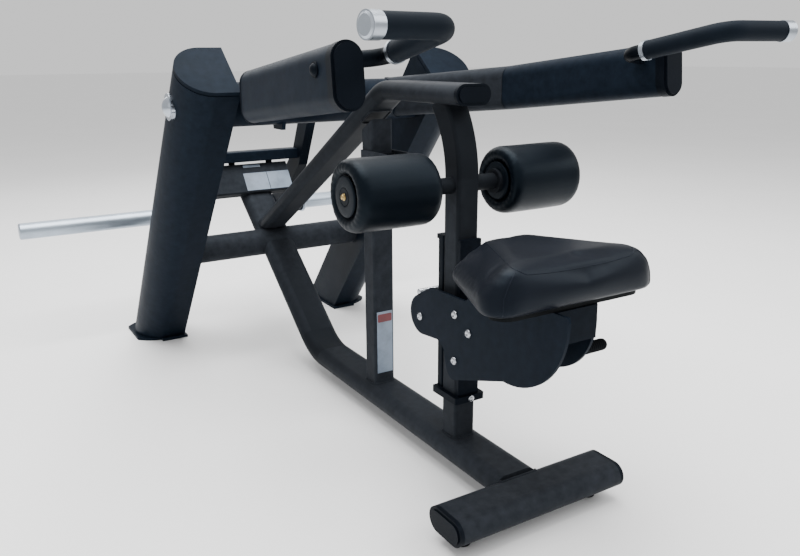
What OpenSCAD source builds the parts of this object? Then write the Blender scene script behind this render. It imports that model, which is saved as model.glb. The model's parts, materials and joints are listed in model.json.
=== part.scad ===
// Plate-loaded seated dip machine. Millimetres, +Z up, -Y towards the user's back, X across.
// The origin is on the floor, in the middle of the machine's outline.

/* [Frame] */
// Height of the top tube's centre line
top_tube_z = 782; // [760:1:800]
// Length of the front foot tube without its end plugs
foot_len = 376; // [340:2:420]
// Height of the rubber feet under the front foot
rubber_h = 26; // [20:1:30]
// Distance from the front foot to the middle of the seat column
column_y = 237; // [230:1:245]
// Distance from the front foot to the middle of the post
post_y = 568; // [560:1:580]
// Angle of the rear part of the spine above the floor
spine_tilt = 38; // [36:1:40]
// Angle of the rear part of the top tube below the horizontal
top_tilt = 30.4; // [29:0.2:32]

/* [Rear legs] */
// Half the clear width between the two legs
leg_gap = 264; // [255:1:275]
// Depth of the D profile along its flat side
leg_depth = 150; // [140:2:160]
// Width of the straight part of the D profile
leg_flat = 53; // [45:1:60]
// Lean of the legs from the vertical
leg_lean = 40; // [38:0.5:42]
// Distance from the front foot to the middle of a leg's top
leg_top_y = 766; // [755:1:780]
// Height of the middle of a leg's top
leg_top_z = 824; // [815:1:840]

/* [Press arm] */
// Height of the pivot axis
pivot_z = 742; // [735:1:750]
// Outer radius of the pivot beam
beam_r = 52; // [48:1:55]
// Half the distance between the two arms at their front ends
arm_x = 347; // [335:1:355]
// Distance from the front foot to the bend of the arms
arm_bend_y = 490; // [470:5:510]
// Height of an arm's centre line at the front
arm_z = 829; // [815:1:840]
// Radius of the handle tube
handle_r = 13; // [11:0.5:14]
// Radius of the rubber grip
grip_r = 17; // [15:0.5:19]

/* [Plate horns] */
// Radius of a plate horn
horn_r = 25; // [24.5:0.1:25.2]
// Length of a plate horn outside its collar
horn_len = 410; // [300:2:420]
// Distance from the front foot to the horns
horn_y = 1588; // [1570:2:1600]
// Height of the horns
horn_z = 343; // [335:1:350]

/* [Thigh rollers] */
// Radius of a thigh roller
roller_r = 66; // [60:1:68]
// Length of a thigh roller
roller_len = 172; // [150:2:180]
// Height of the roller bar
roller_z = 611; // [600:1:618]

/* [Seat] */
// Height of the seat pad's top
seat_z = 540; // [525:1:545]
// Thickness of the seat pad
pad_t = 80; // [70:1:84]
// Half the width of the pad's wide end
pad_half = 180; // [165:1:190]
// Half the distance between the carriage plates
plate_x = 45; // [44:1:48]

/* [Hidden] */
$fn = 48;

// paint and material colours
charcoal = [0.20, 0.20, 0.21];
navy = [0.11, 0.13, 0.16];
black = [0.07, 0.07, 0.08];
steel = [0.72, 0.73, 0.75];
vinyl = [0.12, 0.12, 0.14];

// flat-oval tube sections: broad side, narrow side, wall
main_w = 100;
main_t = 50;
tube_wall = 3;
slim_w = 80;
slim_t = 40;
box_w = 50;            // square section of the column and the post
seam = 0.3;            // gap between faces of different bodies
bend_lap = 1.5;        // degrees that a round bar's bend reaches into its straights
main_lap = 0.5;        // the same for the spine and the top tube
bend_inset = 0.05;     // how much thinner a bend is than its straights

// front foot and spine
foot_z = rubber_h + main_t / 2;
plug_t = 8;
spine_z = foot_z + 4;                    // centre line of the low part
spine_knee_y = 880;                      // where the straight parts of the spine meet
spine_bend_r = 160;
spine_end = 690;                         // length of the rear part from the knee
function spine_at(s) = [0, spine_knee_y + s * cos(spine_tilt), spine_z + s * sin(spine_tilt)];

// top tube
top_front_y = 211;
top_knee_y = 502;
top_bend_r = 90;
top_len = 842;
function top_at(s) = [0, top_knee_y + s * cos(top_tilt), top_tube_z - s * sin(top_tilt)];

// rear legs: unit vector down the leg, and a point on its axis
leg_dir = [0, sin(leg_lean), -cos(leg_lean)];
leg_top = [0, leg_top_y, leg_top_z];
leg_cap_t = 12;
leg_w = leg_flat + leg_depth / 2;
plate_t = 8;
leg_len = (leg_top_z - plate_t) / cos(leg_lean);
pivot_y = leg_top_y + (leg_top_z - pivot_z) * tan(leg_lean);
// rear cross tube
cross_y = 1212;
cross_z = 306;
cross_r = 39;

// pivot
shaft_r = 15;
bearing_r = 31;
bearing_w = 18;
beam_half = leg_gap - 6;

// press arm, right side
arm_front = [arm_x - 2, 38, arm_z - 3];
arm_bend = [arm_x - 27, arm_bend_y, arm_z - 52];
arm_root = [188, pivot_y, pivot_z + 4];
arm_cap_len = 24;
arm_bolt_at = 70;                        // from an arm's front end to its bolt
arm_dir = unit(arm_bend - arm_front);
handle_path = [[arm_x - 23, 98, 846], [262, 82, 851], [280, -117, 889], [412, -138, 889]];
handle_bends = [26, 36];
grip_start = 26;                         // grip starts this far after the first bend
lever_x = 165;                           // middle of a weight lever
lever_w = 30;
lever_h = 60;
lever_wall = 4;
boss_r = 33;                             // sleeve from a lever's end to the collar
collar_t = 10;
collar_r = 36;
horn_start = 264;                        // outer face of the collar
horn_step = 1;                           // the horn is full size this far outside the collar
horn_chamfer = 3;
spigot_r = horn_r - 1;                   // the part of the horn inside sleeve and collar
horn_root = lever_x - 14;                // inner end of the horn

// seat column, rails and roller bar
column_top_bend = 228;
column_tilt = 40;
column_bend_z = 622;
rail_z0 = 180;
rail_z1 = 498;
rail_x = 25;
rail_rear_y0 = column_y + box_w / 2;
rail_rear_t = 18;
rail_front_y1 = column_y - box_w / 2;
rail_front_t = 9;
bar_r = 16;
hub_r = 38;
hub_t = 6;
roller_in = 84;

// seat carriage
carriage_plate_t = 6;
pad_z0 = seat_z - pad_t;
board_t = 10;
board_z = pad_z0 - board_t;
wheel_front_r = 20.6;
wheel_rear_r = 25.5;
wheel_rear = [306, 329];
wheel_front_hi = [rail_front_y1 - rail_front_t - wheel_front_r - seam, 368];
wheel_front_lo = [wheel_front_hi[0], 272];
bridge_bolt = [137, 343];
top_rod = [312, 380];
lever_pivot = [30, 322];
lever_tip = [-54, 352];
plunger_r = 7;
plunger_z = 320;

// the whole outline, from the handles' front to the rear of the horn collars
y_front = handle_path[3][1] - grip_r - 1;
y_rear = horn_y + collar_r;
y_mid = (y_front + y_rear) / 2;

function unit(v) = v / norm(v);
function arc(c, r, a0, a1, n) =
  [for (i = [0:n]) let (a = a0 + (a1 - a0) * i / n) [c[0] + r * cos(a), c[1] + r * sin(a)]];

// --- helpers -------------------------------------------------------------------------

// everything is drawn with the front foot at y = 0 and moved to the origin here
module placed() { translate([0, -y_mid, 0]) children(); }

module mirrored() { children(); mirror([1, 0, 0]) children(); }

// local axes: z along q - p, y level
module along(p, q) {
  z = unit(q - p);
  y = unit(cross([0, 0, 1], z));
  x = cross(y, z);
  multmatrix([[x[0], y[0], z[0], p[0]], [x[1], y[1], z[1], p[1]],
              [x[2], y[2], z[2], p[2]], [0, 0, 0, 1]]) children();
}

module bar(p, q) { along(p, q) linear_extrude(norm(q - p)) children(); }

// flat oval, a along x and b along y
module oval(a, b) {
  r = min(a, b) / 2;
  dx = a / 2 - r;
  dy = b / 2 - r;
  translate([-max(dx, 0), -max(dy, 0)]) square([2 * max(dx, 0.001), 2 * max(dy, 0.001)]);
  if (dx > 0) translate([-dx, -r]) square([2 * dx, 2 * r]);
  if (dy > 0) translate([-r, -dy]) square([2 * r, 2 * dy]);
  translate([dx, dy]) circle(r);
  translate([-dx, -dy]) circle(r);
}

module oval_wall(a, b, t) {
  difference() { oval(a, b); oval(a - 2 * t, b - 2 * t); }
}

// square section with rounded corners
module box2d(w, d, r) {
  translate([-w / 2 + r, -d / 2]) square([w - 2 * r, d]);
  translate([-w / 2, -d / 2 + r]) square([w, d - 2 * r]);
  for (sx = [-1, 1], sy = [-1, 1]) translate([sx * (w / 2 - r), sy * (d / 2 - r)]) circle(r);
}

module box_wall(w, d, r, t) {
  difference() { box2d(w, d, r); box2d(w - 2 * t, d - 2 * t, max(r - t, 0.8)); }
}

// solid D section: flat side on x = 0, straight to flat, then a half round
module d_section(depth, flat, grow = 0) {
  r = depth / 2 + grow;
  intersection() {
    union() {
      translate([-grow, -r]) square([flat + grow, 2 * r]);
      translate([flat, 0]) circle(r, $fn = 96);
    }
    translate([-grow, -r]) square([flat + 2 * r, 2 * r]);
  }
}

// round bar along points, with a bend radius at each inner point; each bend is a hair
// thinner than the straights and reaches a little way into them
module bent_bar(p, bends, r) {
  n = len(p);
  cuts = [for (i = [0:n - 1]) (i == 0 || i == n - 1) ? 0 :
    bends[i - 1] * tan(acos(unit(p[i] - p[i - 1]) * unit(p[i + 1] - p[i])) / 2)];
  for (i = [0:n - 2]) {
    u = unit(p[i + 1] - p[i]);
    a = p[i] + u * cuts[i];
    b = p[i + 1] - u * cuts[i + 1];
    along(a, b) cylinder(r = r, h = norm(b - a));
  }
  for (i = [1:n - 2]) {
    u = unit(p[i] - p[i - 1]);
    v = unit(p[i + 1] - p[i]);
    turn = acos(u * v);
    c = p[i] + unit(v - u) * bends[i - 1] / cos(turn / 2);
    x = unit(p[i] - u * cuts[i] - c);
    z = cross(x, u);
    multmatrix([[x[0], u[0], z[0], c[0]], [x[1], u[1], z[1], c[1]],
                [x[2], u[2], z[2], c[2]], [0, 0, 0, 1]])
      rotate([0, 0, -bend_lap]) rotate_extrude(angle = turn + 2 * bend_lap)
        translate([bends[i - 1], 0]) circle(r - bend_inset);
  }
}

// the same path as a tube: the bore runs a little past both ends
module bent_tube(p, bends, r, r_in) {
  n = len(p);
  first = p[0] - unit(p[1] - p[0]);
  last = p[n - 1] + unit(p[n - 1] - p[n - 2]);
  bore = [for (i = [0:n - 1]) i == 0 ? first : i == n - 1 ? last : p[i]];
  difference() {
    bent_bar(p, bends, r);
    bent_bar(bore, bends, r_in);
  }
}

// outline of a strip of half width t along 2D points, with mitred corners
function turned(v) = [-v[1], v[0]];
function mitre(p, i) =
  let (last = len(p) - 1,
       before = turned(unit(p[max(i, 1)] - p[max(i, 1) - 1])),
       after = turned(unit(p[min(i, last - 1) + 1] - p[min(i, last - 1)])))
  (before + after) / (1 + before * after);
function strip(p, t) = concat(
  [for (i = [0:len(p) - 1]) p[i] + mitre(p, i) * t],
  [for (i = [len(p) - 1:-1:0]) p[i] - mitre(p, i) * t]);

// --- frame ---------------------------------------------------------------------------

module spine_solid(a = main_t, b = main_w) {
  cut = spine_bend_r * tan(spine_tilt / 2);
  bar([0, main_w / 2 - 8, spine_z], [0, spine_knee_y - cut, spine_z]) oval(a, b);
  bar(spine_at(cut), spine_at(spine_end)) oval(a, b);
  translate([0, spine_knee_y - cut, spine_z + spine_bend_r]) rotate([0, 90, 0])
    rotate([0, 0, -main_lap]) rotate_extrude(angle = spine_tilt + 2 * main_lap)
      translate([spine_bend_r, 0]) oval(a - 2 * bend_inset, b - 2 * bend_inset);
}

module foot_solid() {
  bar([-foot_len / 2, 0, foot_z], [foot_len / 2, 0, foot_z]) oval(main_t, main_w);
}

module front_foot() {
  color(charcoal) placed()
    bar([-foot_len / 2, 0, foot_z], [foot_len / 2, 0, foot_z]) oval_wall(main_t, main_w, tube_wall);
}

// black plastic plugs: two on the front foot, one on the top tube
module plug(p, outward, a, b) {
  step = 3;
  edge = 6;
  rim = p + outward * plug_t;
  bar(p, rim) oval(a, b);
  bar(rim, rim + outward * step) oval(a - 2 * edge, b - 2 * edge);
}

module tube_plugs() {
  color(black) placed() {
    mirrored() plug([foot_len / 2, 0, foot_z], [1, 0, 0], main_t, main_w);
    plug([0, top_front_y, top_tube_z], [0, -1, 0], slim_t, slim_w);
  }
}

module rubber_feet() {
  r = 18;
  tread = 4;
  from_end = 34;
  color(black) placed() mirrored() translate([foot_len / 2 - from_end, 6, 0]) {
    cylinder(r1 = r - 2, r2 = r, h = tread);
    translate([0, 0, tread]) cylinder(r = r, h = rubber_h - tread);
  }
}

// the spine as a tube, with a solid nose where it meets the front foot
module spine_tube() {
  difference() {
    spine_solid();
    difference() {
      spine_solid(main_t - 2 * tube_wall, main_w - 2 * tube_wall);
      translate([-100, 0, 0]) cube([200, 60, 200]);
    }
    foot_solid();
    cross_solid(seam / 3);
  }
}

// the rear cross tube divides the spine
module behind_cross_tube() { translate([-100, cross_y - 4, 0]) cube([200, 500, 900]); }

module spine() {
  color(charcoal) placed() difference() { spine_tube(); behind_cross_tube(); }
}

module spine_rear() {
  color(charcoal) placed() intersection() { spine_tube(); behind_cross_tube(); }
}

// everything inside and under the sloped part of the spine, to just above its centre plane
module under_spine() {
  translate([0, spine_knee_y, spine_z]) rotate([spine_tilt, 0, 0])
    translate([-100, -400, -288]) cube([200, 1400, 300]);
}

module top_solid(a = slim_t, b = slim_w) {
  cut = top_bend_r * tan(top_tilt / 2);
  bar([0, top_front_y, top_tube_z], [0, top_knee_y - cut, top_tube_z]) oval(a, b);
  bar(top_at(cut), top_at(top_len)) oval(a, b);
  translate([0, top_knee_y - cut, top_tube_z - top_bend_r]) rotate([0, 90, 0])
    rotate([0, 0, 180 - top_tilt - main_lap]) rotate_extrude(angle = top_tilt + 2 * main_lap)
      translate([top_bend_r, 0]) oval(a - 2 * bend_inset, b - 2 * bend_inset);
}

module top_tube() {
  color(charcoal) placed() difference() {
    top_solid();
    top_solid(slim_t - 2 * tube_wall, slim_w - 2 * tube_wall);
    spine_solid();
    under_spine();
    cross_solid(seam / 3);
  }
}

module post() {
  color(charcoal) placed() difference() {
    translate([0, post_y, spine_z]) linear_extrude(top_tube_z - spine_z)
      box_wall(box_w + 4, box_w, 7, tube_wall);
    spine_solid();
    top_solid();
    translate([-60, post_y - 60, 0]) cube([120, 120, spine_z]);
    translate([-60, post_y - 60, top_tube_z - 45]) rotate([-top_tilt, 0, 0]) cube([120, 160, 120]);
  }
}

// folded bracket on the front of the post: two cheeks and a web
module post_bracket() {
  front = 462;
  back = post_y + box_w / 2 - 6;
  low = 560;
  high = 646;
  r = 22;
  inner = box_w / 2 + 2;
  color(charcoal) placed() {
    mirrored() translate([inner, 0, 0]) multmatrix([[0, 0, 1, 0], [1, 0, 0, 0], [0, 1, 0, 0],
      [0, 0, 0, 1]]) linear_extrude(5) {
        translate([front + r, low]) square([back - front - r, high - low]);
        translate([front, low]) square([r + 1, high - low - r]);
        translate([front + r, high - r]) circle(r);
      }
    translate([-inner, post_y - box_w / 2 - 5, low + 5]) cube([2 * inner, 5, high - low - 10]);
  }
}

// straight tube with a curved top that leans back to meet the top tube
module column_solid(w, r) {
  translate([0, column_y, spine_z]) linear_extrude(column_bend_z - spine_z) box2d(w, w, r);
  translate([0, column_y + column_top_bend, column_bend_z]) rotate([0, 90, 0])
    rotate([0, 0, -90]) mirror([0, 1, 0]) rotate_extrude(angle = column_tilt)
      translate([column_top_bend, 0]) box2d(w, w, r);
}

module seat_column() {
  color(charcoal) placed() difference() {
    column_solid(box_w, 7);
    column_solid(box_w - 2 * tube_wall, 4);
    spine_solid();
    translate([-60, 0, top_tube_z - slim_t / 2 + 0.01]) cube([120, 500, 200]);
    bar_solid(seam / 3);
  }
}

module leg_place(side) {
  // x of the D section points outwards, its depth lies along the lean's normal
  s = side;
  y = [0, cos(leg_lean), sin(leg_lean)];
  z = leg_dir;
  multmatrix([[s, 0, 0, s * leg_gap], [0, y[1], z[1], leg_top[1]],
              [0, y[2], z[2], leg_top[2]], [0, 0, 0, 1]]) children();
}

module leg(side) {
  difference() {
    leg_place(side) difference() {
      translate([0, 0, leg_cap_t]) linear_extrude(leg_len + 150) d_section(leg_depth, leg_flat);
      translate([4, 0, 6]) linear_extrude(leg_len + 200)
        d_section(leg_depth - 8, leg_flat - 4);
    }
    translate([-500, 900, plate_t - 400]) cube([1000, 900, 400]);
    cross_solid(seam / 3);
    translate([-500, pivot_y, pivot_z]) rotate([0, 90, 0]) cylinder(r = bearing_r, h = 1000);
  }
}

module leg_left() { color(navy) placed() leg(-1); }
module leg_right() { color(navy) placed() leg(1); }

module leg_caps() {
  color(navy) placed() for (s = [-1, 1]) leg_place(s) {
    linear_extrude(leg_cap_t - 3) d_section(leg_depth, leg_flat);
    translate([1.5, 0, leg_cap_t - 3]) linear_extrude(3) d_section(leg_depth - 3, leg_flat - 1.5);
  }
}

module foot_plates() {
  mid = leg_top_y + leg_top_z * tan(leg_lean);
  half = leg_depth / 2 / cos(leg_lean) + 6;
  color(navy) placed() mirrored() translate([leg_gap, mid, 0]) linear_extrude(plate_t) {
    translate([-6, -half - 14]) square([leg_flat + 6, 2 * half + 14]);
    translate([leg_flat - 1, -half - 14]) square([20, half]);
    translate([leg_flat, 0]) intersection() {
      circle(half, $fn = 96);
      translate([0, -half]) square([leg_depth / 2 + 8, 2 * half]);
    }
  }
}

module cross_solid(grow = 0) {
  translate([-leg_gap - 3, cross_y, cross_z]) rotate([0, 90, 0])
    cylinder(r = cross_r + grow, h = 2 * leg_gap + 6);
}

module rear_cross_tube() {
  color(charcoal) placed() difference() {
    cross_solid();
    translate([-leg_gap - 10, cross_y, cross_z]) rotate([0, 90, 0])
      cylinder(r = cross_r - tube_wall, h = 2 * leg_gap + 20);
  }
}

// box across the top of the spine, on which the crossbar comes to rest
stop_mid = [-12, 1358, 475];
stop_half = 127;
stop_lean = 35;
stop_w = 101;
stop_t = 30;
stop_corner = 5;
stop_pad = [62, 1387, 506];              // bottom centre of the right rubber pad
stop_pad_r = 10;
module stop_place() { translate(stop_mid) rotate([-stop_lean, 0, 0]) children(); }

module stop_box() {
  stop_place() rotate([0, 90, 0]) translate([0, 0, -stop_half]) linear_extrude(2 * stop_half)
    children();
}

module stop_beam() {
  color(charcoal) placed() difference() {
    stop_box() box_wall(stop_w, stop_t, stop_corner, tube_wall);
    spine_solid();
  }
}

// two rubber pads on its top edge
module stop_pads() {
  top = cross_bar[2] - cross_bar_h / 2 - seam;
  color(black) placed() mirrored() difference() {
    translate(stop_pad) cylinder(r = stop_pad_r, h = top - stop_pad[2]);
    stop_box() box2d(stop_w, stop_t, stop_corner);
  }
}

// blank film labels: three on the stop beam, one on the post
film_t = 0.8;
module blank_labels() {
  color([0.85, 0.85, 0.86]) placed() {
    stop_place() translate([0, -stop_t / 2 - film_t, -stop_w / 2]) {
      translate([-26, 0, 6]) cube([76, film_t, 60]);
      translate([52, 0, 6]) cube([74, film_t, 60]);
      translate([-20, 0, 86]) cube([56, film_t, 8]);
    }
    translate([-21, post_y - box_w / 2 - film_t, 108]) cube([42, film_t, 156]);
  }
}

module pivot_shaft() {
  color(steel) placed() translate([-leg_gap - leg_w + 6, pivot_y, pivot_z]) rotate([0, 90, 0])
    cylinder(r = shaft_r, h = 2 * (leg_gap + leg_w - 6));
}

module ring_x(x, y, z, r, r_in, w) {
  translate([x, y, z]) rotate([0, 90, 0]) difference() {
    cylinder(r = r, h = w);
    translate([0, 0, -1]) cylinder(r = r_in, h = w + 2);
  }
}

// one bearing near each wall of a leg
module pivot_bearings() {
  color(steel) placed() mirrored() for (x = [leg_gap + 0.5, leg_gap + leg_w - 30])
    ring_x(x, pivot_y, pivot_z, bearing_r - 0.1, shaft_r + 0.05, bearing_w);
}

module pivot_domes() {
  dome_r = 27;
  rim = 9;
  color(steel) placed() mirrored() translate([leg_gap + leg_w - 5.9, pivot_y, pivot_z])
    rotate([0, 90, 0]) {
      cylinder(r = bearing_r - 0.2, h = rim);
      translate([0, 0, rim]) rotate_extrude() intersection() {
        translate([0, -dome_r / 2 - 0.5]) circle(dome_r);
        square([dome_r, dome_r]);
      }
    }
}

module bar_solid(grow = 0) {
  half = roller_in + roller_len + 1;
  translate([-half, column_y, roller_z]) rotate([0, 90, 0]) cylinder(r = bar_r + grow, h = 2 * half);
}

module roller_bar() {
  color(charcoal) placed() {
    bar_solid();
    mirrored() ring_x(roller_in - 8, column_y, roller_z, 24, bar_r, 7);
  }
}

// rails in front of and behind the column, on which the seat carriage rolls
module guide_rails() {
  color(black) placed() {
    translate([-rail_x, rail_front_y1 - rail_front_t, rail_z0])
      cube([2 * rail_x, rail_front_t, rail_z1 - rail_z0]);
    translate([0, rail_rear_y0 + rail_rear_t / 2, rail_z0])
      linear_extrude(rail_z1 - rail_z0) box2d(2 * rail_x, rail_rear_t, 3);
  }
}

module rail_brackets() {
  color(black) placed() {
    translate([0, column_y + 2, rail_z0 - 14]) linear_extrude(14) difference() {
      box2d(72, 88, 5);
      translate([0, -2]) box2d(box_w + 0.1, box_w + 0.1, 7);
    }
    translate([0, rail_rear_y0 + 12, rail_z1]) linear_extrude(9) box2d(2 * rail_x, 24, 3);
    translate([-rail_x, rail_front_y1 - rail_front_t, rail_z1])
      cube([2 * rail_x, rail_front_t, 9]);
  }
}

// end bolts of the roller bar, and one bolt through each end of the bottom bracket
module frame_bolts() {
  color(steel) placed() {
    mirrored() translate([roller_in + roller_len + 1, column_y, roller_z]) rotate([0, 90, 0]) {
      cylinder(r = 7.5, h = 1.5);
      translate([0, 0, 1.5]) cylinder(r = 5, h = 4, $fn = 6);
    }
    translate([2, column_y - 42, rail_z0 - 7]) rotate([90, 0, 0]) cylinder(r = 6, h = 5, $fn = 6);
    translate([0, column_y + 46, rail_z0 - 7]) rotate([-90, 0, 0])
      cylinder(r = 6, h = 5, $fn = 6);
  }
}

// --- press arm -----------------------------------------------------------------------

module beam_solid(grow = 0) {
  translate([-beam_half, pivot_y, pivot_z]) rotate([0, 90, 0])
    cylinder(r = beam_r + grow, h = 2 * beam_half, $fn = 96);
}

module pivot_beam() {
  color(navy) placed() difference() {
    beam_solid();
    translate([-beam_half - 1, pivot_y, pivot_z]) rotate([0, 90, 0])
      cylinder(r = beam_r - 5, h = 2 * beam_half + 2, $fn = 96);
  }
}

// bushes pressed into the beam's ends, running on the fixed shaft
module beam_bushes() {
  color(steel) placed() mirrored()
    ring_x(beam_half - 22, pivot_y, pivot_z, beam_r - 5.05, shaft_r + 0.05, 22);
}

module arm_right_solid() {
  from = arm_front + arm_dir * arm_cap_len;
  intersection() {
    bar(from, arm_bend + arm_dir * 60) oval_wall(main_w, main_t, tube_wall);
    translate([0, -200, 0]) cube([600, arm_bend_y + 200, 1200]);
  }
}

module limb_right_solid() {
  d = unit(arm_root - arm_bend);
  difference() {
    bar(arm_bend - d * 60, arm_root) oval_wall(main_w, main_t, tube_wall);
    translate([0, -200, 0]) cube([600, arm_bend_y + 200 + 0.1, 1200]);
    beam_solid(0);
  }
}

module arm_right() { color(navy) placed() arm_right_solid(); }
module arm_left() { color(navy) placed() mirror([1, 0, 0]) arm_right_solid(); }
module limb_right() { color(charcoal) placed() limb_right_solid(); }
module limb_left() { color(charcoal) placed() mirror([1, 0, 0]) limb_right_solid(); }

module arm_caps() {
  color(black) placed() mirrored() {
    bar(arm_front + arm_dir * 5, arm_front + arm_dir * arm_cap_len) oval(main_w + 2, main_t + 2);
    bar(arm_front, arm_front + arm_dir * 5) oval(main_w - 6, main_t - 6);
  }
}

module arm_bolts() {
  at = arm_front + arm_dir * arm_bolt_at + [main_t / 2 - 1, 0, 15];
  color(black) placed() mirrored() difference() {
    translate(at) rotate([0, 90, 0]) {
      cylinder(r = 12, h = 4);
      translate([0, 0, 4]) rotate_extrude() intersection() {
        translate([0, -5]) circle(11);
        square([11, 11]);
      }
    }
    bar(arm_front, arm_bend) oval(main_w, main_t);
  }
}

module handle_right_solid() {
  difference() {
    bent_tube(handle_path, handle_bends, handle_r, handle_r - 2.5);
    bar(arm_front, arm_bend) oval(main_w, main_t);
  }
}

grip_cut = handle_bends[0] *
  tan(acos(unit(handle_path[1] - handle_path[0]) * unit(handle_path[2] - handle_path[1])) / 2);
grip_axis = unit(handle_path[2] - handle_path[1]);
grip_from = handle_path[1] + grip_axis * (grip_cut + grip_start);
end_axis = unit(handle_path[3] - handle_path[2]);
grip_path = [grip_from, handle_path[2], handle_path[3] - end_axis * 16];

module grip_right_solid() {
  bent_tube(grip_path, [handle_bends[1]], grip_r, handle_r + 0.1);
}

module handle_right() { color(black) placed() handle_right_solid(); }
module handle_left() { color(black) placed() mirror([1, 0, 0]) handle_right_solid(); }
module grip_right() { color(black) placed() grip_right_solid(); }
module grip_left() { color(black) placed() mirror([1, 0, 0]) grip_right_solid(); }

module grip_collars() {
  color(steel) placed() mirrored() difference() {
    along(grip_from - grip_axis * 9, grip_from) cylinder(r = grip_r + 1.5, h = 8.9);
    along(grip_from - grip_axis * 12, grip_from) cylinder(r = handle_r + 0.05, h = 20);
  }
}

module grip_end_caps() {
  color(steel) placed() mirrored() {
    difference() {
      along(handle_path[3] - end_axis * 15.9, handle_path[3]) cylinder(r = grip_r + 1, h = 15.9);
      along(handle_path[3] - end_axis * 20, handle_path[3]) cylinder(r = handle_r + 0.05, h = 20);
    }
    along(handle_path[3] + end_axis * 0.05, handle_path[3] + end_axis * 5) {
      cylinder(r = grip_r + 1, h = 3);
      translate([0, 0, 3]) cylinder(r1 = grip_r - 1, r2 = grip_r - 4, h = 2);
    }
  }
}

// cranked rectangular tube, seen along X, from the beam to the horn's sleeve
lever_path = [[pivot_y, pivot_z], [1285, 692], [1372, 530], [horn_y, horn_z]];
module lever_bar(h, w) {
  translate([lever_x - w / 2, 0, 0]) rotate([90, 0, 90]) linear_extrude(w)
    polygon(strip(lever_path, h / 2));
}

module lever_right_solid() {
  difference() {
    union() {
      lever_bar(lever_h, lever_w);
      translate([lever_x - lever_w / 2 - 2, horn_y, horn_z]) rotate([0, 90, 0])
        cylinder(r = boss_r, h = horn_start - collar_t - lever_x + lever_w / 2 + 2);
    }
    difference() {
      lever_bar(lever_h - 2 * lever_wall, lever_w - 2 * lever_wall);
      translate([0, horn_y, horn_z]) rotate([0, 90, 0]) cylinder(r = boss_r, h = 400);
    }
    beam_solid(0.1);
    translate([0, horn_y, horn_z]) rotate([0, 90, 0]) cylinder(r = spigot_r + 0.05, h = 400);
  }
}

module weight_lever_right() { color(navy) placed() lever_right_solid(); }
module weight_lever_left() { color(navy) placed() mirror([1, 0, 0]) lever_right_solid(); }

// crossbar between the levers, which rests on the stop pads
cross_bar = [0, 1378, 548];
cross_bar_h = 32;
cross_bar_d = 46;
module stop_crossbar() {
  half = lever_x - lever_w / 2 - 0.05;
  color(navy) placed() translate([-half, cross_bar[1], cross_bar[2]]) rotate([0, 90, 0])
    linear_extrude(2 * half) box_wall(cross_bar_h, cross_bar_d, 4, tube_wall);
}

// ribs under the pivot beam, where the limbs leave it
module limb_gussets() {
  color(navy) placed() mirrored() difference() {
    translate([118, pivot_y, pivot_z]) rotate([0, 90, 0]) linear_extrude(10)
      polygon([[0, -40], [beam_r + 12, -22], [beam_r + 12, 30], [0, 40]]);
    beam_solid(0);
  }
}

module horn_right_solid() {
  spigot = horn_start + horn_step - horn_root;
  full = horn_len - horn_step - horn_chamfer;
  translate([horn_root, horn_y, horn_z]) rotate([0, 90, 0]) difference() {
    union() {
      cylinder(r = spigot_r, h = spigot);
      translate([0, 0, spigot]) cylinder(r = horn_r, h = full, $fn = 96);
      translate([0, 0, spigot + full])
        cylinder(r1 = horn_r, r2 = horn_r - horn_chamfer, h = horn_chamfer, $fn = 96);
    }
    translate([0, 0, -1]) cylinder(r = horn_r - 5, h = spigot + full - 4);
  }
}

module horn_right() { color(steel) placed() horn_right_solid(); }
module horn_left() { color(steel) placed() mirror([1, 0, 0]) horn_right_solid(); }

module horn_collars() {
  color(steel) placed() mirrored()
    ring_x(horn_start - collar_t, horn_y, horn_z, collar_r, spigot_r + 0.05, collar_t);
}

// --- seat carriage -------------------------------------------------------------------

// side plate, seen along X: a lobe behind the column, a fan under the seat
module plate_outline(fan, fan_r) {
  polygon(concat(
    arc(fan, fan_r, 178, 272, 18),
    arc([186, 254], 24, 268, 340, 6),
    arc([246, 268], 30, 150, 95, 5),
    arc([302, 334], 42, 260, 420, 14),
    arc([262, 380], 22, 60, 95, 4),
    [[150, 404], [118, 430], [112, board_z - 0.1], [fan[0] - fan_r + 2, board_z - 0.1]]));
}

module carriage_plate(side) {
  x = side > 0 ? plate_x : -plate_x - carriage_plate_t;
  // the outline's x is the machine's y, its y is z
  multmatrix([[0, 0, 1, x], [1, 0, 0, 0], [0, 1, 0, 0], [0, 0, 0, 1]])
    linear_extrude(carriage_plate_t)
      plate_outline([24, side < 0 ? 436 : 415], side < 0 ? 152 : 115);
}

module carriage_plate_left() { color(navy) placed() carriage_plate(-1); }
module carriage_plate_right() { color(navy) placed() carriage_plate(1); }

// folded bridge between the plates, with the boss that guides the plunger
module carriage_bridge() {
  inner = plate_x - 0.1;
  color(black) placed() difference() {
    union() {
      translate([-inner, -96, board_z - 5.1]) cube([2 * inner, 200, 5]);
      translate([-inner, -96, board_z - 60]) cube([2 * inner, 5, 56]);
      translate([-inner, 96, board_z - 130]) cube([2 * inner, 8, 126]);
      translate([0, 96, plunger_z]) rotate([-90, 0, 0]) cylinder(r = 14, h = 40);
      translate([-inner, 96, plunger_z - 20]) cube([2 * inner, 8, 40]);
    }
    translate([0, 80, plunger_z]) rotate([-90, 0, 0]) cylinder(r = plunger_r + 0.35, h = 80);
  }
}

module wheel(at, r) {
  ring_x(-27, at[0], at[1], r, 6.3, 54);
}

module guide_wheels() {
  color([0.16, 0.16, 0.17]) placed() {
    wheel(wheel_rear, wheel_rear_r);
    wheel(wheel_front_hi, wheel_front_r);
    wheel(wheel_front_lo, wheel_front_r);
  }
}

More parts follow.
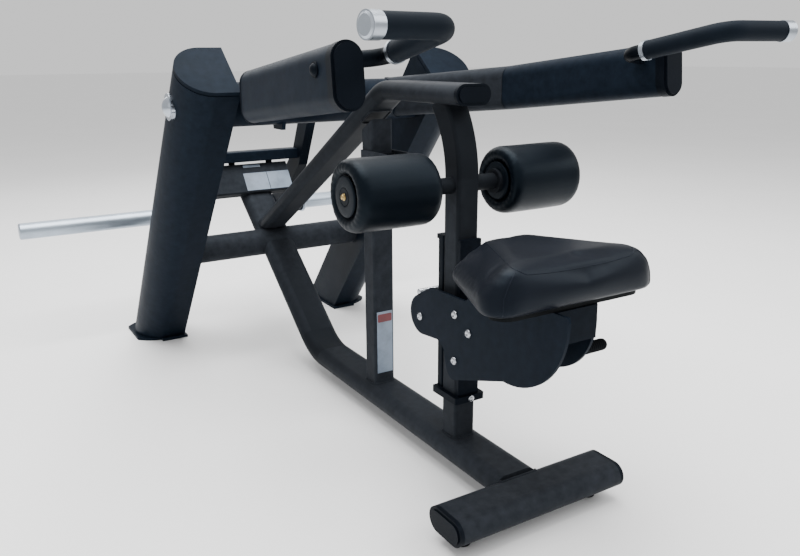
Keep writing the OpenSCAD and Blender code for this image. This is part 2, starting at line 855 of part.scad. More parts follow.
// axle bolts with button heads outside the plates
module carriage_bolts() {
  reach = plate_x + carriage_plate_t + 0.05;
  color(steel) placed() {
    for (c = [wheel_rear, wheel_front_hi, wheel_front_lo]) {
      translate([-plate_x + 0.1, c[0], c[1]]) rotate([0, 90, 0])
        cylinder(r = 6, h = 2 * plate_x - 0.2);
    }
    for (c = [wheel_rear, wheel_front_hi, wheel_front_lo, bridge_bolt], s = [-1, 1])
      translate([s * reach, c[0], c[1]]) rotate([0, s * 90, 0]) {
        cylinder(r = 8.5, h = 1.5);
        translate([0, 0, 1.5]) cylinder(r1 = 6.5, r2 = 5.5, h = 4);
      }
    difference() {
      translate([-plate_x - carriage_plate_t, top_rod[0], top_rod[1]]) rotate([0, 90, 0])
        cylinder(r = 7, h = 2 * (plate_x + carriage_plate_t));
      for (s = [-1, 1]) carriage_plate(s);
    }
    translate([reach, lever_pivot[0], lever_pivot[1]]) rotate([0, 90, 0])
      cylinder(r = 5, h = 14);
  }
}

module board_outline(grow) {
  w = pad_half - 22 + grow;
  n = 74 + grow;
  polygon(concat(
    arc([-w + 30, -62 - grow], 30, 180, 270, 6),
    arc([w - 30, -62 - grow], 30, 270, 360, 6),
    arc([n - 26, 74 + grow], 26, 20, 90, 5),
    arc([-n + 26, 74 + grow], 26, 90, 160, 5)));
}

module seat_board() {
  color(black) placed() translate([0, 0, board_z]) linear_extrude(board_t) board_outline(0);
}

// saddle pad: wide towards the user's back, narrow towards the column, with sloped sides
module seat_pad() {
  color(vinyl) placed() translate([0, 0, pad_z0 + 0.05]) hull() {
    translate([0, 0, 12]) linear_extrude(20) board_outline(19);
    linear_extrude(1) board_outline(8);
    translate([0, 0, pad_t - 2]) linear_extrude(1.9) polygon([
      [-pad_half + 44, -88], [pad_half - 44, -88], [36, 88], [-36, 88]]);
  }
}

// --- seat release --------------------------------------------------------------------

module release_lever() {
  x = plate_x + carriage_plate_t + 2.3;
  d = lever_tip - lever_pivot;
  color(black) placed() difference() {
    union() {
      translate([x, lever_pivot[0], lever_pivot[1]]) rotate([0, 90, 0]) cylinder(r = 12, h = 5);
      translate([x, lever_tip[0], lever_tip[1]]) rotate([0, 90, 0]) cylinder(r = 9, h = 5);
      translate([x, lever_pivot[0], lever_pivot[1]]) rotate([atan2(d[1], d[0]), 0, 0])
        translate([0, 0, -8]) cube([5, norm(d), 16]);
      translate([x + 5, lever_tip[0], lever_tip[1]]) rotate([0, 90, 0]) cylinder(r = 6, h = 50);
    }
    translate([x - 3, lever_pivot[0], lever_pivot[1]]) rotate([0, 90, 0])
      cylinder(r = 5.3, h = 12);
  }
}

module lever_grip() {
  x = plate_x + carriage_plate_t + 2.3 + 5.1;
  color(black) placed() translate([x, lever_tip[0], lever_tip[1]]) rotate([0, 90, 0])
    difference() {
      union() {
        cylinder(r = 11, h = 50);
        translate([0, 0, 50]) cylinder(r1 = 11, r2 = 8, h = 4);
      }
      translate([0, 0, -1]) cylinder(r = 6.05, h = 51);
    }
}

module lock_plunger() {
  tip = rail_front_y1 - rail_front_t - 0.4;
  color(steel) placed() translate([0, 88, plunger_z]) rotate([-90, 0, 0])
    cylinder(r = plunger_r, h = tip - 88);
}

// --- thigh rollers -------------------------------------------------------------------

module foam_right_solid() {
  edge = 16;
  translate([roller_in, column_y, roller_z]) rotate([0, 90, 0]) rotate_extrude() difference() {
    union() {
      translate([0, edge]) square([roller_r, roller_len - 2 * edge]);
      square([roller_r - edge, roller_len]);
      for (z = [edge, roller_len - edge]) translate([roller_r - edge, z]) circle(edge);
    }
    translate([-1, -1]) square([bar_r + 1 + seam, roller_len + 2]);
    translate([-1, -1]) square([hub_r + 1.1, hub_t + 1.1]);
    translate([-1, roller_len - hub_t - 0.1]) square([hub_r + 1.1, hub_t + 2]);
  }
}

module hubs_right_solid() {
  for (x = [roller_in, roller_in + roller_len - hub_t])
    ring_x(x, column_y, roller_z, hub_r, bar_r + seam, hub_t);
}

module roller_foam_right() { color(black) placed() foam_right_solid(); }
module roller_foam_left() { color(black) placed() mirror([1, 0, 0]) foam_right_solid(); }
module roller_hubs_right() { color(black) placed() hubs_right_solid(); }
module roller_hubs_left() { color(black) placed() mirror([1, 0, 0]) hubs_right_solid(); }

front_foot();
tube_plugs();
rubber_feet();
spine();
spine_rear();
post();
post_bracket();
top_tube();
seat_column();
leg_left();
leg_right();
leg_caps();
foot_plates();
rear_cross_tube();
stop_beam();
stop_pads();
blank_labels();
pivot_shaft();
pivot_bearings();
pivot_domes();
roller_bar();
guide_rails();
frame_bolts();
rail_brackets();
pivot_beam();
beam_bushes();
arm_left();
arm_right();
limb_left();
limb_right();
arm_caps();
arm_bolts();
handle_left();
handle_right();
grip_left();
grip_right();
grip_collars();
grip_end_caps();
weight_lever_left();
weight_lever_right();
stop_crossbar();
limb_gussets();
horn_left();
horn_right();
horn_collars();
carriage_plate_left();
carriage_plate_right();
carriage_bridge();
guide_wheels();
carriage_bolts();
seat_board();
seat_pad();
release_lever();
lever_grip();
lock_plunger();
roller_foam_left();
roller_foam_right();
roller_hubs_left();
roller_hubs_right();
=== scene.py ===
"""Looks for the seated dip machine: materials, upholstery, fittings, light and camera.

Metres, +Z up, -Y the seat end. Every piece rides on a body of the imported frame.
"""
import json
import math

import bmesh
import bpy
from mathutils import Matrix, Vector, noise
from mathutils.bvhtree import BVHTree


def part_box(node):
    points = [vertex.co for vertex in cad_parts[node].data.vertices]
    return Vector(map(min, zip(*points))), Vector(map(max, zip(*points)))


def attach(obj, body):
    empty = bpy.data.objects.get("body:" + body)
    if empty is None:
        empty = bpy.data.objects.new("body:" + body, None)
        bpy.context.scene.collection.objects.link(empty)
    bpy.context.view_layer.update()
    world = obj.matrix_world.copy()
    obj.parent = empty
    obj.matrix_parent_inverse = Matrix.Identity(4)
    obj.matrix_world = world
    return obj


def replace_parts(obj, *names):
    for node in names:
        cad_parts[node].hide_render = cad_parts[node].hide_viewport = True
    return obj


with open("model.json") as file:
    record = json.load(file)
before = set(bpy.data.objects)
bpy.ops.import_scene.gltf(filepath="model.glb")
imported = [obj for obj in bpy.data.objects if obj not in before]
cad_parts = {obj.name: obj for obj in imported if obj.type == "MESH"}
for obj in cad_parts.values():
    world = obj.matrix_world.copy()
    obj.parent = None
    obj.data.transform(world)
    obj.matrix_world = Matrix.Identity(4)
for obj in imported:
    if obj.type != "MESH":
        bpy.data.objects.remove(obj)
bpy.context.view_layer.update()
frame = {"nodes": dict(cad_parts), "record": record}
NODES = frame["nodes"]

# --- camera: the photo's viewpoint, angles in degrees and lens in millimetres -------------
CAMERA_AT = (-0.8841, -1.7204, 0.8556)
CAMERA_YAW = 31.25
CAMERA_PITCH = -16.08
CAMERA_ROLL = -0.36
CAMERA_LENS = 35.0

# --- sizes that the looks add -----------------------------------------------------------
SEAM_R = 0.0009
WELD_R = 0.0030
WELD_RIPPLE = 0.14
PAD_VOXEL = 0.0055
ROLLER_VOXEL = 0.0050
PAD_POINTS = 96
BAND_POINTS = 60
CORNER_STEPS = 12
CLOTH_FRAMES = 20
ROLLER_BORE = 0.019
HUB_R = 0.042
HUB_POCKET = 0.014                              # depth of the hub's recess in the foam
EDGE_R = 0.018                                  # rounding of the foam's outer edges
EDGE_INSET = 0.002
PLEATS = 26
PLEAT_DEPTH = 0.0005
PLEAT_REACH = 0.03                              # from the end face along the barrel
DENT_DEPTH = 0.0008
BAR_BOLT_X = 0.1                                # bolts further out are in the roller bar's ends

# --- tubes with weld beads at their ends --------------------------------------------------
# centre lines: right limb, right weight lever's first run, top tube's sloped end, spine's front
LIMB_FROM = Vector((0.320, -0.244, 0.777))
LIMB_TO = Vector((0.188, 0.1008, 0.746))
LEVER_FROM = Vector((0.165, 0.1008, 0.742))
LEVER_TO = Vector((0.165, 0.551, 0.692))
TOP_FROM = Vector((0.0, 0.193, 0.528))
TOP_TO = Vector((0.0, 0.494, 0.356))
SPINE_FROM = Vector((0, -0.6, 0.055))
SPINE_TO = Vector((0, -0.7, 0.055))
# outsides: width, height or depth, and corner radius; some are about half a millimetre over size
LIMB_SECTION = (0.050, 0.100, 0.0249)
LEVER_SECTION = (0.0304, 0.0604, 0.004)
TOP_SECTION = (0.080, 0.040, 0.0199)
SPINE_SECTION = (0.100, 0.050, 0.0249)
POST_SECTION = (0.0545, 0.0505, 0.008)
COLUMN_SECTION = (0.0505, 0.0505, 0.008)


# --- materials --------------------------------------------------------------------------
BLUISH = (0.62, 0.82, 1.0, 1.0)                 # tint of the highlights on paint and plastic


def new_material(name):
    """A material with its Principled shader, node tree and a coordinate socket."""
    mat = bpy.data.materials.new(name)
    mat.use_nodes = True
    tree = mat.node_tree
    shader = tree.nodes["Principled BSDF"]
    coord = tree.nodes.new("ShaderNodeTexCoord").outputs["Object"]
    return mat, tree, shader, coord


def noise_node(tree, coord, scale, detail=3.0, rough=0.55, stretch=None):
    """Noise at a scale, stretched along an axis if asked for."""
    if stretch:
        mapping = tree.nodes.new("ShaderNodeMapping")
        mapping.inputs["Scale"].default_value = stretch
        tree.links.new(coord, mapping.inputs["Vector"])
        coord = mapping.outputs["Vector"]
    node = tree.nodes.new("ShaderNodeTexNoise")
    node.inputs["Scale"].default_value = scale
    node.inputs["Detail"].default_value = detail
    node.inputs["Roughness"].default_value = rough
    tree.links.new(coord, node.inputs["Vector"])
    return node.outputs["Fac"]


def ramp(tree, fac, stops):
    """A colour ramp: stops are (position, colour)."""
    node = tree.nodes.new("ShaderNodeValToRGB")
    elements = node.color_ramp.elements
    while len(elements) < len(stops):
        elements.new(0.5)
    for element, (position, colour) in zip(elements, stops):
        element.position = position
        element.color = (*colour, 1.0)
    tree.links.new(fac, node.inputs["Fac"])
    return node.outputs["Color"]


def spread(tree, fac, low, high):
    """Maps a 0..1 factor to a range."""
    node = tree.nodes.new("ShaderNodeMapRange")
    node.inputs["To Min"].default_value = low
    node.inputs["To Max"].default_value = high
    tree.links.new(fac, node.inputs["Value"])
    return node.outputs["Result"]


def bump(tree, shader, height, strength, distance, below=None):
    """Bump from a height, on top of another bump's normal if one is given."""
    node = tree.nodes.new("ShaderNodeBump")
    node.inputs["Strength"].default_value = strength
    node.inputs["Distance"].default_value = distance
    tree.links.new(height, node.inputs["Height"])
    if below is not None:
        tree.links.new(below, node.inputs["Normal"])
    tree.links.new(node.outputs["Normal"], shader.inputs["Normal"])
    return node.outputs["Normal"]


def mixed(tree, fac, base, over):
    """Colour base, replaced by over where fac is 1."""
    node = tree.nodes.new("ShaderNodeMix")
    node.data_type = "RGBA"
    tree.links.new(fac, node.inputs["Factor"])
    tree.links.new(base, node.inputs["A"])
    node.inputs["B"].default_value = (*over, 1.0)
    return node.outputs["Result"]


def scaled(colour, k):
    """A colour made k times as bright."""
    return tuple(c * k for c in colour)


def edge_wear_and_highlight(tree, coord, low, high):
    """A mask of convex edges, broken up by noise, where edges are painted lighter: partly rubbing,
    partly painted highlight.
    """
    geometry = tree.nodes.new("ShaderNodeNewGeometry")
    edges = tree.nodes.new("ShaderNodeMapRange")
    edges.inputs["From Min"].default_value = low
    edges.inputs["From Max"].default_value = high
    tree.links.new(geometry.outputs["Pointiness"], edges.inputs["Value"])
    times = tree.nodes.new("ShaderNodeMath")
    times.operation = "MULTIPLY"
    tree.links.new(edges.outputs["Result"], times.inputs[0])
    tree.links.new(noise_node(tree, coord, 60.0), times.inputs[1])
    return times.outputs["Value"]


def powder_coat(name, colour, rough):
    """Satin powder coat: fine orange peel, faint cloudiness, convex edges painted lighter as light
    rubbing and as painted highlight.
    """
    mat, tree, shader, coord = new_material(name)
    cloud = noise_node(tree, coord, 5.0)
    base = ramp(tree, cloud, [(0.3, scaled(colour, 0.88)), (0.7, scaled(colour, 1.14))])
    # convex edges made three times as bright: rubbing, and a painted highlight along them
    worn_and_highlit = mixed(tree, edge_wear_and_highlight(tree, coord, 0.53, 0.62), base, scaled(colour, 3.0))
    tree.links.new(worn_and_highlit, shader.inputs["Base Color"])
    smudge = noise_node(tree, coord, 18.0, 4.0)
    tree.links.new(spread(tree, smudge, rough - 0.07, rough + 0.08), shader.inputs["Roughness"])
    shader.inputs["Specular IOR Level"].default_value = 0.035
    shader.inputs["Specular Tint"].default_value = BLUISH
    bump(tree, shader, noise_node(tree, coord, 900.0, 2.0), 0.10, 0.0006)
    return mat


def moulded(name, colour, rough, grain=1400.0, depth=0.16):
    """Moulded plastic or rubber: fine grain, dusty lighter patches."""
    mat, tree, shader, coord = new_material(name)
    dust = noise_node(tree, coord, 11.0, 5.0)
    base = ramp(tree, dust, [(0.35, colour), (0.75, scaled(colour, 1.5))])
    tree.links.new(base, shader.inputs["Base Color"])
    tree.links.new(spread(tree, dust, rough - 0.05, rough + 0.08), shader.inputs["Roughness"])
    shader.inputs["Specular IOR Level"].default_value = 0.07
    shader.inputs["Specular Tint"].default_value = BLUISH
    bump(tree, shader, noise_node(tree, coord, grain, 2.0), depth, 0.0005)
    return mat


def metal(name, colour, rough, stretch=None, depth=0.05):
    """Bare metal with drawn or turned marks and faint stains."""
    mat, tree, shader, coord = new_material(name)
    marks = noise_node(tree, coord, 160.0, 4.0, 0.6, stretch)
    stain = noise_node(tree, coord, 9.0, 4.0)
    base = ramp(tree, stain, [(0.3, scaled(colour, 0.82)), (0.65, colour)])
    tree.links.new(base, shader.inputs["Base Color"])
    tree.links.new(spread(tree, marks, rough - 0.06, rough + 0.1), shader.inputs["Roughness"])
    shader.inputs["Metallic"].default_value = 1.0
    bump(tree, shader, marks, depth, 0.0004)
    return mat


def vinyl(name, colour, rough):
    """Upholstery vinyl: pebble grain over soft creases, worn and shinier in patches, with ridges painted
    lighter as rubbing and as painted highlight.
    """
    mat, tree, shader, coord = new_material(name)
    cell = tree.nodes.new("ShaderNodeTexVoronoi")
    cell.feature = "DISTANCE_TO_EDGE"
    cell.inputs["Scale"].default_value = 620.0
    tree.links.new(coord, cell.inputs["Vector"])
    patches = noise_node(tree, coord, 7.0, 5.0)
    base = ramp(tree, patches, [(0.3, scaled(colour, 0.85)), (0.7, scaled(colour, 1.3))])
    # ridges and edges made 2.6 times as bright: rubbing, and a painted highlight where the ridges catch
    # the light
    worn_and_highlit = mixed(tree, edge_wear_and_highlight(tree, coord, 0.51, 0.58), base, scaled(colour, 2.6))
    tree.links.new(worn_and_highlit, shader.inputs["Base Color"])
    tree.links.new(spread(tree, patches, rough - 0.08, rough + 0.1), shader.inputs["Roughness"])
    shader.inputs["Specular IOR Level"].default_value = 0.10
    shader.inputs["Specular Tint"].default_value = BLUISH
    creases = bump(tree, shader, noise_node(tree, coord, 34.0, 4.0), 0.14, 0.002)
    bump(tree, shader, cell.outputs["Distance"], 0.22, 0.0006, creases)
    return mat


def film(name, colour):
    """Blank label film, a little rubbed."""
    mat, tree, shader, coord = new_material(name)
    rub = noise_node(tree, coord, 26.0, 5.0)
    base = ramp(tree, rub, [(0.35, scaled(colour, 0.7)), (0.6, colour)])
    tree.links.new(base, shader.inputs["Base Color"])
    tree.links.new(spread(tree, rub, 0.28, 0.5), shader.inputs["Roughness"])
    bump(tree, shader, rub, 0.08, 0.0006)
    return mat


FINISHES = {
    "frame_paint": (powder_coat, (0.0095, 0.0108, 0.0132), 0.46),
    "dark_paint": (powder_coat, (0.0032, 0.0050, 0.0082), 0.44),
    "black_paint": (powder_coat, (0.0020, 0.0028, 0.0044), 0.40),
    "plug_plastic": (moulded, (0.0022, 0.0030, 0.0050), 0.48),
    "foot_rubber": (moulded, (0.0030, 0.0032, 0.0036), 0.78, 700.0),
    "grip_rubber": (moulded, (0.0045, 0.0065, 0.0100), 0.60, 900.0, 0.3),
    "wheel_plastic": (moulded, (0.0100, 0.0100, 0.0110), 0.42),
    "hub_plastic": (moulded, (0.0036, 0.0054, 0.0080), 0.36),
    "board_wood": (moulded, (0.0050, 0.0050, 0.0050), 0.60, 300.0),
    "vinyl": (vinyl, (0.0046, 0.0056, 0.0086), 0.38),
    "foam_cover": (vinyl, (0.0020, 0.0034, 0.0056), 0.38),
    "horn_steel": (metal, (0.40, 0.46, 0.53), 0.36, (0.05, 1.0, 1.0)),
    "shaft_steel": (metal, (0.48, 0.48, 0.50), 0.3),
    "bush_metal": (metal, (0.42, 0.30, 0.13), 0.32),
    "dome_chrome": (metal, (0.42, 0.46, 0.52), 0.14, None, 0.01),
    "trim_aluminium": (metal, (0.40, 0.44, 0.49), 0.3),
    "bolt_steel": (metal, (0.46, 0.48, 0.51), 0.24),
    "label_film": (film, (0.19, 0.24, 0.31)),
}
MATERIALS = {name: make(name, *looks) for name, (make, *looks) in FINISHES.items()}
BAND = film("label_band", (0.13, 0.012, 0.018))
SLOT_OF = {row["node"]: row["material_slot"] for row in frame["record"]["subparts"]}


def dress_cad_nodes():
    """Every CAD node takes its slot's procedural material."""
    for name, obj in NODES.items():
        mesh_slots = obj.material_slots
        if not mesh_slots:
            obj.data.materials.append(MATERIALS[SLOT_OF[name]])
        for mesh_slot in mesh_slots:
            mesh_slot.material = MATERIALS[SLOT_OF[name]]


# --- piece helpers ----------------------------------------------------------------------
def piece(name, bm, body, slot, smooth=True, material=None):
    """A new object from a bmesh, riding on a body and finished from a slot."""
    bmesh.ops.recalc_face_normals(bm, faces=bm.faces)
    mesh = bpy.data.meshes.new(name)
    bm.to_mesh(mesh)
    bm.free()
    for face in mesh.polygons:
        face.use_smooth = smooth
    obj = bpy.data.objects.new(name, mesh)
    bpy.context.scene.collection.objects.link(obj)
    mesh.materials.append(material or MATERIALS[slot])
    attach(obj, body)
    return obj


def axis_matrix(origin, axis):
    """Places local +Z on an axis at an origin."""
    turn = Vector((0, 0, 1)).rotation_difference(Vector(axis).normalized())
    return Matrix.Translation(origin) @ turn.to_matrix().to_4x4()


def hexagon(radius, angle):
    """Distance to the edge of a hexagon whose flats are a radius from its centre."""
    return radius / math.cos(angle % (math.pi / 3) - math.pi / 6)


def lathe(profile, origin, axis, sides=48, bm=None):
    """Revolves (distance along the axis, radius) points; a radius of 0 closes an end.

    A third entry in a point makes its ring a hexagon.
    """
    bm = bm or bmesh.new()
    place = axis_matrix(origin, axis)
    rings = []
    for height, radius, *six in profile:
        if radius <= 0:
            rings.append([bm.verts.new(place @ Vector((0, 0, height)))])
            continue
        ring = []
        for i in range(sides):
            angle = 2 * math.pi * i / sides
            r = hexagon(radius, angle) if six else radius
            ring.append(bm.verts.new(place @ Vector((r * math.cos(angle), r * math.sin(angle), height))))
        rings.append(ring)
    for below, above in zip(rings, rings[1:]):
        for i in range(sides):
            j = (i + 1) % sides
            corners = [below[i % len(below)], below[j % len(below)],
                       above[j % len(above)], above[i % len(above)]]
            unique = list(dict.fromkeys(corners))
            if len(unique) > 2:
                bm.faces.new(unique)
    return bm


def tube_along(points, radius, closed=False, sides=8, bm=None, ripple=0.0):
    """A round bead swept along points, rippled like a weld if asked for."""
    bm = bm or bmesh.new()
    count = len(points)
    rings = []
    side = None
    for i, point in enumerate(points):
        ahead = points[(i + 1) % count] if closed or i + 1 < count else points[i]
        behind = points[i - 1] if closed or i > 0 else points[i]
        forward = (Vector(ahead) - Vector(behind)).normalized()
        start = forward.orthogonal() if side is None else side
        side = (start - forward * start.dot(forward)).normalized()
        up = forward.cross(side)
        r = radius * (1 + ripple * math.sin(i * 2.2))
        rings.append([bm.verts.new(Vector(point) + (side * math.cos(a) + up * math.sin(a)) * r)
                      for a in (2 * math.pi * k / sides for k in range(sides))])
    pairs = list(zip(rings, rings[1:]))
    if closed:
        turn = min(range(sides), key=lambda k: (rings[-1][0].co - rings[0][k].co).length)
        pairs.append((rings[-1], rings[0][turn:] + rings[0][:turn]))
    for a, b in pairs:
        for k in range(sides):
            bm.faces.new([a[k], a[(k + 1) % sides], b[(k + 1) % sides], b[k]])
    if not closed:
        bm.faces.new(rings[0])
        bm.faces.new(rings[-1])
    return bm


def rounded_outline(corners, radius, count):
    """Evenly spaced points on a polygon with rounded corners."""
    dense = []
    for i, corner in enumerate(corners):
        c = Vector(corner)
        before = (Vector(corners[i - 1]) - c).normalized()
        after = (Vector(corners[(i + 1) % len(corners)]) - c).normalized()
        half = before.angle(after) / 2
        reach = radius / math.tan(half)
        centre = c + (before + after).normalized() * radius / math.sin(half)
        first = c + before * reach - centre
        last = c + after * reach - centre
        for k in range(CORNER_STEPS + 1):
            t = k / CORNER_STEPS
            spoke = (first * (1 - t) + last * t).normalized() * radius
            dense.append(centre + spoke)
    lengths = [(dense[(i + 1) % len(dense)] - p).length for i, p in enumerate(dense)]
    total = sum(lengths)
    out = []
    i = 0
    gone = 0.0
    for k in range(count):
        want = total * k / count
        while gone + lengths[i] < want:
            gone += lengths[i]
            i += 1
        t = (want - gone) / lengths[i]
        out.append(dense[i].lerp(dense[(i + 1) % len(dense)], t))
    return out


def apply_modifiers(obj):
    """Swaps an object's mesh for its evaluated one, and drops the modifiers."""
    graph = bpy.context.evaluated_depsgraph_get()
    mesh = bpy.data.meshes.new_from_object(obj.evaluated_get(graph))
    old = obj.data
    obj.modifiers.clear()
    obj.data = mesh
    bpy.data.meshes.remove(old)
    for face in obj.data.polygons:
        face.use_smooth = True


def plump(obj, voxel, pressure, cap, pinned=None):
    """Remeshes a closed form and swells it as cloth, moving no point further than cap."""
    remesh = obj.modifiers.new("remesh", "REMESH")
    remesh.mode = "VOXEL"
    remesh.voxel_size = voxel
    apply_modifiers(obj)
    start = [v.co.copy() for v in obj.data.vertices]
    if pinned:
        group = obj.vertex_groups.new(name="pin")
        group.add([v.index for v in obj.data.vertices if pinned(v.co)], 1.0, "REPLACE")
    cloth = obj.modifiers.new("cloth", "CLOTH")
    cloth.settings.use_pressure = True
    cloth.settings.uniform_pressure_force = pressure
    cloth.settings.effector_weights.gravity = 0.0
    cloth.settings.quality = 5
    if pinned:
        cloth.settings.vertex_group_mass = "pin"
    scene = bpy.context.scene
    for step in range(1, CLOTH_FRAMES + 1):
        scene.frame_set(step)
    apply_modifiers(obj)
    scene.frame_set(1)
    for vertex, was in zip(obj.data.vertices, start):
        moved = vertex.co - was
        if moved.length > cap:
            vertex.co = was + moved.normalized() * cap
    smooth = obj.modifiers.new("smooth", "SMOOTH")
    smooth.iterations = 3
    subdivide = obj.modifiers.new("subdivide", "SUBSURF")
    subdivide.levels = 1
    subdivide.render_levels = 1
    apply_modifiers(obj)


def fitted(obj, low, high):
    """Scales a mesh to fill a box, to undo what smoothing took from its edges."""
    corners = [v.co for v in obj.data.vertices]
    for axis in range(3):
        first = min(c[axis] for c in corners)
        span = max(c[axis] for c in corners) - first
        for c in corners:
            c[axis] = low[axis] + (c[axis] - first) / span * (high[axis] - low[axis])


# --- seat -------------------------------------------------------------------------------
# Sections of the pad: share of its height, insets at the wide side, the ends and the back
# (metres), half width of the back, corner radius
PAD_SECTIONS = [
    (0.00, 0.010, 0.010, 0.010, 0.084, 0.030),
    (0.06, 0.003, 0.003, 0.003, 0.092, 0.036),
    (0.22, 0.001, 0.001, 0.000, 0.095, 0.042),
    (0.42, 0.000, 0.001, 0.002, 0.092, 0.044),
    (0.66, 0.016, 0.006, 0.010, 0.070, 0.028),
    (0.89, 0.036, 0.013, 0.018, 0.046, 0.018),
    (0.97, 0.050, 0.026, 0.032, 0.034, 0.014),
]
RIDGE = 5                                       # the section that the top seam follows


def pad_section(low, high, row, count=PAD_POINTS):
    """Points round one section of the pad: wide at the front, narrow at the back."""
    share, wide_in, front_in, back_in, narrow, radius = row
    wide = (high.x - low.x) / 2 - wide_in
    front, back = low.y + front_in, high.y - back_in
    corners = [(-wide, front), (wide, front), (narrow, back), (-narrow, back)]
    z = low.z + (high.z - low.z) * share
    return [Vector((p.x, p.y, z)) for p in rounded_outline(corners, min(radius, narrow * 0.8), count)]


def seat_pad():
    """Saddle pad: overhangs its board, with a three-cornered top crowned by the foam."""
    low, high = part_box("seat_pad")
    bm = bmesh.new()
    loops = [[bm.verts.new(p) for p in pad_section(low, high, row)] for row in PAD_SECTIONS]
    for a, b in zip(loops, loops[1:]):
        for i in range(PAD_POINTS):
            j = (i + 1) % PAD_POINTS
            bm.faces.new([a[i], a[j], b[j], b[i]])
    bm.faces.new(loops[0])
    bm.faces.new(loops[-1])
    pad = piece("saddle_pad", bm, "seat_carriage", "vinyl")
    pinned_below = low.z + 0.005
    plump(pad, PAD_VOXEL, 3.0, 0.004, lambda co: co.z < pinned_below)
    margin = Vector((0.003, 0.003, 0.0))
    fitted(pad, low - margin, high + margin)
    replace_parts(pad, "seat_pad")
    seat_seams(pad, low, high)


def seat_seams(pad, low, high):
    """Seams round the top panel and down the front corners of the cover."""
    tree = BVHTree.FromPolygons([v.co for v in pad.data.vertices],
                                [list(f.vertices) for f in pad.data.polygons])
    bm = bmesh.new()
    points = []
    for p in pad_section(low, high, PAD_SECTIONS[RIDGE], 160):
        hit = tree.ray_cast(Vector((p.x, p.y, high.z + 0.05)), Vector((0, 0, -1)))[0]
        if hit is not None:
            points.append(hit)
    tube_along(points, SEAM_R, closed=True, bm=bm)
    core = Vector((0, (low.y + high.y) / 2, (low.z + high.z) / 2))
    for sign in (-1, 1):
        points = []
        for k in range(29):
            share = 0.08 + 0.80 * k / 28
            before = max(row for row in PAD_SECTIONS if row[0] <= share)
            after = min(row for row in PAD_SECTIONS if row[0] > share)
            t = (share - before[0]) / (after[0] - before[0])
            wide_in = before[1] + (after[1] - before[1]) * t
            front_in = before[2] + (after[2] - before[2]) * t
            corner = Vector((sign * (high.x - wide_in), low.y + front_in,
                             low.z + (high.z - low.z) * share))
            inward = Vector((core.x - corner.x, core.y - corner.y, 0)).normalized()
            hit = tree.ray_cast(corner - inward * 0.05, inward)[0]
            if hit is not None:
                points.append(hit)
        tube_along(points, SEAM_R, bm=bm)
    piece("saddle_seams", bm, "seat_carriage", "vinyl")


# --- thigh rollers ----------------------------------------------------------------------
def roller(side):
    """Foam roller: plump cover, gathered round a hub disc at each end."""
    node = f"roller_foam_{side}"
    body = f"roller_{side}"
    low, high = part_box(node)
    centre = (low + high) / 2
    length = high.x - low.x
    radius = (high.z - low.z) / 2
    half = [(HUB_POCKET, ROLLER_BORE), (HUB_POCKET, HUB_R), (EDGE_INSET + 0.002, HUB_R + 0.001)]
    for k in range(9):
        angle = math.pi / 2 * k / 8
        half.append((EDGE_INSET + EDGE_R * (1 - math.cos(angle)),
                     radius - EDGE_R + EDGE_R * math.sin(angle)))
    barrel = [(EDGE_R + (length - 2 * EDGE_R) * k / 8, radius) for k in range(1, 8)]
    profile = half + barrel + [(length - x, r) for x, r in reversed(half)]
    bm = lathe(profile + profile[:1], Vector((low.x, centre.y, centre.z)), (1, 0, 0), 72)
    bmesh.ops.remove_doubles(bm, verts=bm.verts, dist=1e-5)
    foam = piece(f"roller_cover_{side}", bm, body, "foam_cover")
    plump(foam, ROLLER_VOXEL, 3.0, 0.003,
          lambda co: math.hypot(co.y - centre.y, co.z - centre.z) < HUB_R)
    margin = Vector((0.001, 0.0015, 0.0015))
    fitted(foam, low - margin, high + margin)
    for vertex in foam.data.vertices:
        gather(vertex, low.x, high.x, centre, radius)
    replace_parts(foam, node)
    hub_disc(side, low.x, high.x, centre, body)


def gather(vertex, x_low, x_high, centre, radius):
    """Pleats on the end faces, deepest at the hub's edge, and faint dents on the barrel."""
    co = vertex.co
    dy, dz = co.y - centre.y, co.z - centre.z
    r = math.hypot(dy, dz)
    end = min(co.x - x_low, x_high - co.x)
    outward = -1 if co.x - x_low < x_high - co.x else 1
    if r > HUB_R * 0.8 and end < PLEAT_REACH:
        near = max(0.0, 1 - (r - HUB_R) / (radius - HUB_R))
        near *= max(0.0, 1 - end / PLEAT_REACH)
        angle = math.atan2(dz, dy)
        pleat = math.sin(angle * PLEATS + 1.4 * math.sin(angle * 5)) * PLEAT_DEPTH * near
        co.x += outward * pleat
        scale = 1 + pleat * 0.6 / max(r, 1e-4)
        co.y = centre.y + dy * scale
        co.z = centre.z + dz * scale
    dent = noise.noise(Vector((co.x * 14, co.y * 14, co.z * 14))) * DENT_DEPTH
    scale = 1 + dent / max(r, 1e-4)
    co.y = centre.y + (co.y - centre.y) * scale
    co.z = centre.z + (co.z - centre.z) * scale
    co.x = min(max(co.x, x_low - 0.002), x_high + 0.002)


def hub_disc(side, x_low, x_high, centre, body):
    """Moulded end discs, slightly domed, with a rolled rim and a stepped boss."""
    hub_low, hub_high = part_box(f"roller_hubs_{side}")
    r = (hub_high.z - hub_low.z) / 2
    bore = 0.0168
    bm = bmesh.new()
    for x, axis in ((x_low, (-1, 0, 0)), (x_high, (1, 0, 0))):
        profile = [(-0.006, bore), (-0.006, r - 0.002), (-0.002, r), (0.0002, r - 0.0012),
                   (0.0006, r - 0.004), (0.0009, r - 0.010), (0.0010, bore + 0.002),
                   (0.0007, bore), (-0.006, bore)]
        lathe(profile, Vector((x, centre.y, centre.z)), axis, 64, bm)
    bmesh.ops.remove_doubles(bm, verts=bm.verts, dist=1e-6)
    disc = piece(f"roller_discs_{side}", bm, body, "hub_plastic")
    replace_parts(disc, f"roller_hubs_{side}")


